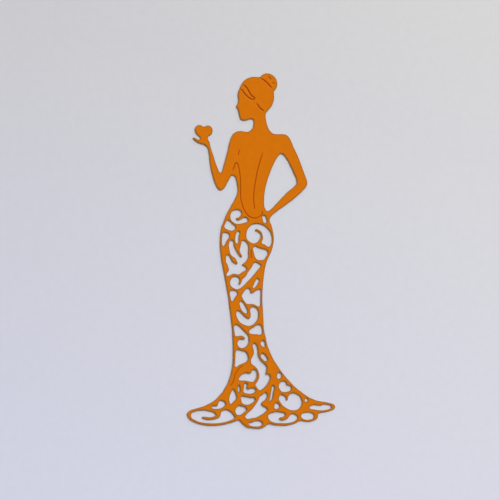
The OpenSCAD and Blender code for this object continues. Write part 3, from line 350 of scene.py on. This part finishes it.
def paper_fibres():
    """Group: cloudy patches, a fine tooth and three lays of short fibres, as a shade round 1 for
    the colour, and a height from 0 to 1 for the bump. A lay is the distance of its noise from 0.5,
    capped smoothly, and the lays add up."""
    tree, given, result = node_group(
        "paper fibres",
        [("Place", "NodeSocketVector", None), ("Cloud", "NodeSocketFloat", 0.14),
         ("Tooth", "NodeSocketFloat", 0.08), ("Fibre", "NodeSocketFloat", 0.09)],
        [("Shade", "NodeSocketFloat", None), ("Height", "NodeSocketFloat", None)])
    place = given.outputs["Place"]
    cloud = noise_node(tree, place, CLOUD_SCALE, 4)
    tooth = noise_node(tree, place, TOOTH_SCALE, 2)
    fibre = 0
    for turn in FIBRE_TURNS:
        lay = noise_node(tree, place, FIBRE_SCALE, 1, FIBRE_SHAPE, turn)
        lay = math_node(tree, "ABSOLUTE", math_node(tree, "SUBTRACT", lay, 0.5))
        lay = math_node(tree, "SMOOTH_MIN", lay, FIBRE_CAP, FIBRE_ROUNDING)
        fibre = math_node(tree, "MULTIPLY_ADD", lay, FIBRE_GAIN, fibre)
    shade = 1
    for value, strength in ((cloud, "Cloud"), (tooth, "Tooth"), (fibre, "Fibre")):
        swing = math_node(tree, "SUBTRACT", value, 0.5)
        shade = math_node(tree, "MULTIPLY_ADD", swing, given.outputs[strength], shade)
    tree.links.new(shade, result.inputs["Shade"])
    height = math_node(tree, "MULTIPLY", fibre, FIBRE_PART)
    height = math_node(tree, "MULTIPLY_ADD", tooth, TOOTH_PART, height)
    tree.links.new(height, result.inputs["Height"])
    return tree


def mixed_colour(tree, share, first, second, blend="MIX"):
    """A Mix node's colour, fed by sockets or plain numbers."""
    mix = tree.nodes.new("ShaderNodeMix")
    mix.data_type = "RGBA"
    mix.blend_type = blend
    for slot, value in ((0, share), (6, first), (7, second)):
        if isinstance(value, bpy.types.NodeSocket):
            tree.links.new(value, mix.inputs[slot])
        else:
            mix.inputs[slot].default_value = value
    return mix.outputs[2]


fibres = paper_fibres()
card = bpy.data.materials.new("orange card")
card.use_nodes = True
tree = card.node_tree
surface = tree.nodes["Principled BSDF"]
surface.inputs["Specular IOR Level"].default_value = CARD_GLOSS
place = tree.nodes.new("ShaderNodeTexCoord").outputs["Object"]
paper = tree.nodes.new("ShaderNodeGroup")
paper.node_tree = fibres
tree.links.new(place, paper.inputs["Place"])
pressed = tree.nodes.new("ShaderNodeAttribute")
pressed.attribute_name = "pressed"
rim = tree.nodes.new("ShaderNodeAttribute")
rim.attribute_name = "rim"
# Furrows darker and redder by their depth: partly denser card, partly painted shade in the furrow
colour = mixed_colour(tree, pressed.outputs["Fac"], CARD_COLOUR, PRESSED_AND_FURROW_SHADE_COLOUR)
# Painted shade: darker, browner colour within half a millimetre of every cut, on lit and shaded
# sides alike
colour = mixed_colour(tree, rim.outputs["Fac"], colour, RIM_PAINTED_SHADE_COLOUR)
colour = mixed_colour(tree, 1, colour, paper.outputs["Shade"], "MULTIPLY")
tree.links.new(colour, surface.inputs["Base Color"])
rough = math_node(tree, "MULTIPLY_ADD", paper.outputs["Height"], TOOTH_ROUGHER, CARD_ROUGHNESS)
rough = math_node(tree, "MULTIPLY_ADD", pressed.outputs["Fac"], PRESSED_SMOOTHER, rough)
rough = math_node(tree, "MULTIPLY_ADD", rim.outputs["Fac"], RIM_ROUGHER, rough)
tree.links.new(rough, surface.inputs["Roughness"])
bump = tree.nodes.new("ShaderNodeBump")
bump.inputs["Strength"].default_value = 0.5
bump.inputs["Distance"].default_value = TOOTH_HEIGHT
tree.links.new(paper.outputs["Height"], bump.inputs["Height"])
tree.links.new(bump.outputs["Normal"], surface.inputs["Normal"])


# Regions of the sheet
# The one sheet of card is given as 20 regions of itself, each a shell of its own. They meet face to
# face at pressed lines and narrow strands, and no real joint is there.

# How far the mesh of a furrow keeps from cuts and seams
FURROW_TO_CUT = 1.8 * FRONT_RIM
FURROW_TO_SEAM = 0.02 * MM
# Neighbours' cuts count for a region up to this far outside it
NEIGHBOUR_REACH = 3 * FRONT_RIM
# Corners closer than this many millimetres become one
MERGED_MM = 1e-5
# Rings of the mesh beside a cut, close together where the rim is rolled
RIM_STEPS = np.array([0, 0.1, 0.36, 1, 1.6, 4, 7.5]) * FRONT_RIM


def inside(places, starts, ends):
    """Whether places are inside the loops that the segments form: a line from each to the right
    meets an odd number of them."""
    x, y = places[:, :1], places[:, 1:]
    crosses = (starts[:, 1] > y) != (ends[:, 1] > y)
    rise = np.where(ends[:, 1] == starts[:, 1], 1, ends[:, 1] - starts[:, 1])
    at = (y - starts[:, 1]) / rise * (ends[:, 0] - starts[:, 0]) + starts[:, 0]
    return np.sum(crosses & (x < at), axis=1) % 2 == 1


def rolled(gap, radius):
    """How far a rolled rim has fallen at a gap from the cut, on a quarter circle: radius - root of
    (radius squared - (radius - gap) squared), and nothing beyond the radius."""
    return radius - np.sqrt(np.maximum(radius**2 - np.maximum(radius - gap, 0) ** 2, 0))


def card_piece(name, lines=()):
    """One region of the sheet as a closed shell. Seen from above it is triangles between its cut
    edges, the rings beside them, its seams and its pressed lines. Front: z = thickness - rolled rim
    - pressed depth. Back: z = its own small rolled rim. A wall joins the two round every side."""
    number = REGIONS.index(name)
    low, high = (np.array(corner[:2]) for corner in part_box(name))
    near_low, near_high = low - NEIGHBOUR_REACH, high + NEIGHBOUR_REACH
    near = np.all((cut_curve > near_low) & (cut_curve < near_high), axis=1)
    near &= near[curve_next]
    cuts = cut_curve[near], cut_curve[curve_next[near]]
    rings = (cut_curve + inward * RIM_STEPS[:, None, None]).reshape(-1, 2)
    ring_first = np.arange(len(RIM_STEPS)) * len(cut_curve)
    ring_edges = np.stack([np.flatnonzero(near), curve_next[near]], axis=1)
    ring_edges = ring_edges + ring_first[:, None, None]

    own_seam = np.any(seam_regions == number, axis=1)
    seam_places = np.stack([seam_start[own_seam], seam_end[own_seam]], axis=1)
    own_cut = curve_region == number
    sides = (
        np.concatenate([cut_curve[own_cut], seam_start[own_seam]]),
        np.concatenate([cut_curve[curve_next[own_cut]], seam_end[own_seam]]))

    furrow = press_places(lines)
    if len(furrow):
        furrow = furrow[np.all((furrow > low) & (furrow < high), axis=1)]
        furrow = furrow[inside(furrow, *sides)]
        furrow = furrow[segment_gap(furrow, *sides)[0] > FURROW_TO_SEAM]
        furrow = furrow[segment_gap(furrow, *cuts)[0] > FURROW_TO_CUT]

    # Triangles between all of these, worked out in millimetres
    edge_places = np.concatenate([rings[ring_edges.reshape(-1)], seam_places.reshape(-1, 2)])
    edges = np.arange(len(edge_places)).reshape(-1, 2)
    places = np.concatenate([edge_places, furrow]) / MM
    found, _, triangles, _, _, _ = delaunay_2d_cdt(
        list(map(Vector, places.tolist())), edges.tolist(), [], 0, MERGED_MM, False)
    places = np.array(found) * MM
    triangles = np.array(triangles)
    triangles = triangles[inside(places[triangles].mean(axis=1), *sides)]
    used, triangles = np.unique(triangles, return_inverse=True)
    places, triangles = places[used], triangles.reshape(-1, 3)
    a, b, c = np.moveaxis(places[triangles], 1, 0)
    ab, ac = b - a, c - a
    clockwise = ab[:, 0] * ac[:, 1] < ab[:, 1] * ac[:, 0]
    triangles[clockwise] = triangles[clockwise, ::-1]

    gap = segment_gap(places, *cuts)[0]
    dip = pressed_depth(places, lines)
    count = len(places)
    front = np.column_stack([places, CARD_THICKNESS - rolled(gap, FRONT_RIM) - dip])
    back = np.column_stack([places, rolled(gap, BACK_RIM)])

    start, end = triangles.ravel(), np.roll(triangles, -1, axis=1).ravel()
    open_side = paired(start, end) < 0
    start, end = start[open_side], end[open_side]
    wall_gap = segment_gap((places[start] + places[end]) / 2, *cuts)[0]
    wall = np.concatenate([
        np.stack([start + count, end + count, end], axis=1),
        np.stack([start + count, end, start], axis=1)])
    faces = np.concatenate([triangles, triangles[:, ::-1] + count, wall])
    smooth = np.ones(len(faces), bool)
    smooth[2 * len(triangles) :] = np.tile(wall_gap <= SAME_PLACE, 2)

    mesh = bpy.data.meshes.new(name + "_card")
    mesh.from_pydata(np.concatenate([front, back]), [], faces)
    mesh.polygons.foreach_set("use_smooth", smooth)
    mesh.set_sharp_from_angle(angle=CORNER_TURN)
    # Masks for colour and roughness: furrow depth, which also brings the furrow's painted shade,
    # and nearness to a cut, which brings the painted edge shade
    pressed_share = np.concatenate([dip / PRESS_DEPTH, np.zeros(count)])
    rim_share = np.tile(np.clip(1 - gap / RIM_STEPS[-1], 0, 1), 2)
    for mask, values in (("pressed", pressed_share), ("rim", rim_share)):
        attribute = mesh.attributes.new(mask, "FLOAT", "POINT")
        attribute.data.foreach_set("value", values.astype(np.float32))
    mesh.materials.append(card)
    piece = bpy.data.objects.new(name + "_card", mesh)
    bpy.context.scene.collection.objects.link(piece)
    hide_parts(name)
    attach(piece, "root")


# Head
# Bun, hair, fringe lock and face are one card, told apart only by the lines pressed between them:
# one round the bun, two round the lock over the temple, and one from the lock down to the nape.
# Two short marks in the bun hint at its wound hair.
HAIR_DEPTH = 0.23 * MM
HAIR_HALF_WIDTH = 0.4 * MM
MARK_DEPTH = 0.18 * MM

bun_line = pressed_line([
    (258.3, 76.3), (259.6, 77.2), (261.6, 78.6), (264.0, 80.0), (265.6, 81.3), (267.4, 82.9),
    (269.4, 85.3), (271.5, 87.6), (273.2, 90.4)], HAIR_DEPTH, HAIR_HALF_WIDTH, (2.4 * MM, 2.2 * MM))
lock_top = pressed_line([
    (242.4, 83.3), (244.7, 85.6), (246.5, 87.2), (248.4, 90.3), (249.6, 92.4), (251.0, 94.7),
    (252.8, 96.2), (254.3, 97.4), (254.9, 98.2)], HAIR_DEPTH, HAIR_HALF_WIDTH, (1.2 * MM, 0))
lock_bottom = pressed_line([
    (239.3, 88.9), (242.5, 90.3), (243.4, 91.6), (244.7, 93.5), (246.8, 95.6),
    (248.7, 97.4), (250.9, 98.5), (252.6, 99.4), (253.8, 99.1), (254.9, 98.2)],
    HAIR_DEPTH, HAIR_HALF_WIDTH, (1.2 * MM, 0))
hair_line = pressed_line([
    (256.2, 101.8), (256.9, 103.2), (258.2, 105.3), (259.7, 107.5), (261.5, 109.0), (263.1, 110.3),
    (264.6, 111.7)], HAIR_DEPTH, HAIR_HALF_WIDTH, (1.2 * MM, 0.8 * MM))
upper_mark = pressed_line([
    (267.8, 75.4), (269.3, 77.0), (270.8, 78.8), (271.9, 80.6)],
    MARK_DEPTH, HAIR_HALF_WIDTH, (1 * MM, 1 * MM))
lower_mark = pressed_line([
    (271.9, 83.4), (273.4, 82.9), (275.2, 82.4)], MARK_DEPTH, HAIR_HALF_WIDTH, (0.6 * MM, 0.4 * MM))
head_lines = [bun_line, lock_top, lock_bottom, hair_line]
card_piece("hair_bun", head_lines + [upper_mark, lower_mark])
card_piece("hair", head_lines)
card_piece("fringe_lock", head_lines)
card_piece("face", head_lines)

# Arms, back and bodice
# The bare back and both arms are plain card. Pressed lines draw the shoulder blade, the spine, the
# edge of the low-backed gown and the hook of its side at the arm; the heart is cut with the hand.
NECKLINE_DEPTH = 0.18 * MM
SPINE_DEPTH = 0.2 * MM

shoulder_blade = pressed_line([
    (239.9, 149.0), (239.1, 151.8), (238.0, 155.8)], fade=(0.5 * MM, 0.5 * MM))
hook_line = pressed_line([
    (236.5, 162.5), (235.2, 163.9), (234.4, 166.2), (233.0, 169.2), (232.2, 172.6)],
    SPINE_DEPTH, fade=(0, 1.8 * MM))
neckline = pressed_line([
    (236.5, 162.5), (237.7, 163.8), (238.8, 167.0), (239.5, 171.0), (240.2, 176.8), (240.5, 184.0),
    (240.5, 192.0), (240.9, 199.0), (241.6, 202.0), (243.2, 207.4), (245.6, 212.2), (248.9, 216.0),
    (252.8, 217.7), (256.1, 217.9), (259.0, 216.7), (261.6, 214.6), (262.8, 210.9)],
    NECKLINE_DEPTH, fade=(0, 0.2 * MM))
spine_line = pressed_line([
    (263.9, 148.0), (262.5, 153.0), (260.5, 159.8), (259.1, 164.4), (257.8, 169.2), (256.5, 175.5),
    (255.4, 181.4), (254.4, 188.2), (253.7, 193.5), (253.7, 199.5), (254.2, 205.0), (254.7, 209.5)],
    SPINE_DEPTH, fade=(4 * MM, 0.6 * MM))
figure_lines = [shoulder_blade, hook_line, neckline, spine_line]
card_piece("back", figure_lines + [hair_line])
card_piece("raised_arm", figure_lines)
card_piece("heart")
card_piece("bent_arm")
card_piece("bodice_side", figure_lines)

# Skirt of lace
# Scrolls and leaves left standing between the openings that the die cuts out of the skirt. They
# hold the sheet together from the hip to the hem. A short vein is pressed into one leaf at the hip,
# and a line runs from the left train round the top of the medallion.
hip_vein = pressed_line([(251.3, 248.5), (251.2, 254.0), (251.6, 258.8)], fade=(0.5 * MM, 0.5 * MM))
train_line = pressed_line([
    (228.6, 386.3), (230.5, 385.1), (232.3, 383.0), (233.5, 380.4), (234.3, 377.6), (234.8, 374.8),
    (235.8, 372.8), (237.3, 370.5), (238.8, 368.6), (240.5, 367.0), (242.3, 366.1), (244.8, 365.5)],
    fade=(1 * MM, 1.2 * MM))
card_piece("hip_lace", [neckline, hip_vein])
card_piece("thigh_lace", [hip_vein])
card_piece("knee_lace")
card_piece("calf_lace", [train_line])
card_piece("hem_medallion", [train_line])

# Train
# The skirt's foot flares to both sides and ends in loops of narrow card. It is cut with the rest,
# and the pressed line round the medallion starts in its left sweep.
card_piece("train_left", [train_line])
for name in ("hem_left_loop", "hem_middle_loop", "hem_right_loop", "train_right", "train_tip"):
    card_piece(name)

# Table
# A wide sheet of smooth pale paper under the card. Its colour is darker and greyer towards the top
# left, and lighter and bluer towards the right and the foot. It sinks into a shallow hollow under
# the skirt, so the card bridges it there and its shadow is wider.
TABLE_HALF = 1.5
TABLE_DROP = 0.01 * MM
TABLE_ROUGHNESS = 0.7
TABLE_GLOSS = 0.2
FINE_HALF = 90 * MM
FINE_LINES = 181
HOLLOW_PX = (250, 385)
HOLLOW_REACH = np.array([14, 20]) * MM
HOLLOW_DEPTH = 0.2 * MM
# Colours at the top left and right, then at the foot left and right, this far from the middle
TABLE_CORNERS = (
    ((0.590, 0.584, 0.612, 1), (0.668, 0.664, 0.662, 1)),
    ((0.630, 0.642, 0.762, 1), (0.684, 0.682, 0.772, 1)))
CORNER_REACH = 80 * MM

# The hollow is a bell: its depth times e to the power of minus the squared distance from its
# middle, measured in its reaches
fine_lines = np.linspace(-FINE_HALF, FINE_HALF, FINE_LINES)
lines = np.concatenate([[-TABLE_HALF], fine_lines, [TABLE_HALF]])
across, up = np.meshgrid(lines, lines)
grid = np.stack([across.ravel(), up.ravel()], axis=1)
away = (grid - from_photo(HOLLOW_PX)) / HOLLOW_REACH
sunk = HOLLOW_DEPTH * np.exp(-np.sum(away**2, axis=1))
count = len(lines)
corner = (np.arange(count - 1)[:, None] * count + np.arange(count - 1)).ravel()
table_mesh = bpy.data.meshes.new("table")
table_mesh.from_pydata(
    np.column_stack([grid, -TABLE_DROP - sunk]), [],
    np.stack([corner, corner + 1, corner + count + 1, corner + count], axis=1))
table_mesh.shade_smooth()
table = bpy.data.objects.new("table", table_mesh)
bpy.context.scene.collection.objects.link(table)
table_paper = bpy.data.materials.new("table paper")
table_paper.use_nodes = True
table_mesh.materials.append(table_paper)
tree = table_paper.node_tree
surface = tree.nodes["Principled BSDF"]
surface.inputs["Roughness"].default_value = TABLE_ROUGHNESS
surface.inputs["Specular IOR Level"].default_value = TABLE_GLOSS
place = tree.nodes.new("ShaderNodeTexCoord").outputs["Object"]
paper = tree.nodes.new("ShaderNodeGroup")
paper.node_tree = fibres
for strength, value in (("Cloud", 0.06), ("Tooth", 0.03), ("Fibre", 0.03)):
    paper.inputs[strength].default_value = value
tree.links.new(place, paper.inputs["Place"])
axes = tree.nodes.new("ShaderNodeSeparateXYZ")
tree.links.new(place, axes.inputs["Vector"])
shares = []
for axis, start in (("X", -CORNER_REACH), ("Y", CORNER_REACH)):
    span = tree.nodes.new("ShaderNodeMapRange")
    span.inputs["From Min"].default_value = start
    span.inputs["From Max"].default_value = -start
    tree.links.new(axes.outputs[axis], span.inputs["Value"])
    shares.append(span.outputs["Result"])
rightward, footward = shares
top, foot = (mixed_colour(tree, rightward, left, right) for left, right in TABLE_CORNERS)
colour = mixed_colour(tree, footward, top, foot)
colour = mixed_colour(tree, 1, colour, paper.outputs["Shade"], "MULTIPLY")
tree.links.new(colour, surface.inputs["Base Color"])

# Light
# A lamp stands to the upper right of the figure, with a wide pale screen lower down behind it, and
# the room gives the rest. Lamp and screen are a little cool and the room is warm, so that a level
# sheet shows its own colour and shadows are brownish.
LAMP_SHARE = 0.52
SCREEN_SHARE = 0.22
ROOM_SHARE = 1 - LAMP_SHARE - SCREEN_SHARE
LAMP_COLOUR = (0.82, 1.02, 1.2)
ROOM_COLOUR = (1.51, 0.943, 0.431, 1)
SURROUNDINGS_COLOUR = (0.64, 0.64, 0.68, 1)

# Each with its share of the light on a level sheet, and its height and spread in degrees
for name, share, height, spread in (("lamp", LAMP_SHARE, 42, 30), ("screen", SCREEN_SHARE, 26, 50)):
    height = math.radians(height)
    lamp = bpy.data.objects.new(name, bpy.data.lights.new(name, "SUN"))
    lamp.data.angle = math.radians(spread)
    lamp.data.color = LAMP_COLOUR
    lamp.data.energy = share * math.pi / math.sin(height)
    beam = Vector((*-TO_LAMP * math.cos(height), -math.sin(height)))
    lamp.rotation_euler = beam.to_track_quat("-Z", "Y").to_euler()
    bpy.context.scene.collection.objects.link(lamp)

room = bpy.data.worlds.new("room")
room.use_nodes = True
bpy.context.scene.world = room
tree = room.node_tree
light = tree.nodes["Background"]
light.inputs["Color"].default_value = ROOM_COLOUR
light.inputs["Strength"].default_value = ROOM_SHARE
seen = tree.nodes.new("ShaderNodeBackground")
seen.inputs["Color"].default_value = SURROUNDINGS_COLOUR
which = tree.nodes.new("ShaderNodeMixShader")
rays = tree.nodes.new("ShaderNodeLightPath").outputs
seeing = math_node(tree, "MAXIMUM", rays["Is Camera Ray"], rays["Is Glossy Ray"])
seeing = math_node(tree, "MAXIMUM", seeing, rays["Is Transmission Ray"])
tree.links.new(seeing, which.inputs["Fac"])
tree.links.new(light.outputs["Background"], which.inputs[1])
tree.links.new(seen.outputs["Background"], which.inputs[2])
tree.links.new(which.outputs["Shader"], tree.nodes["World Output"].inputs["Surface"])
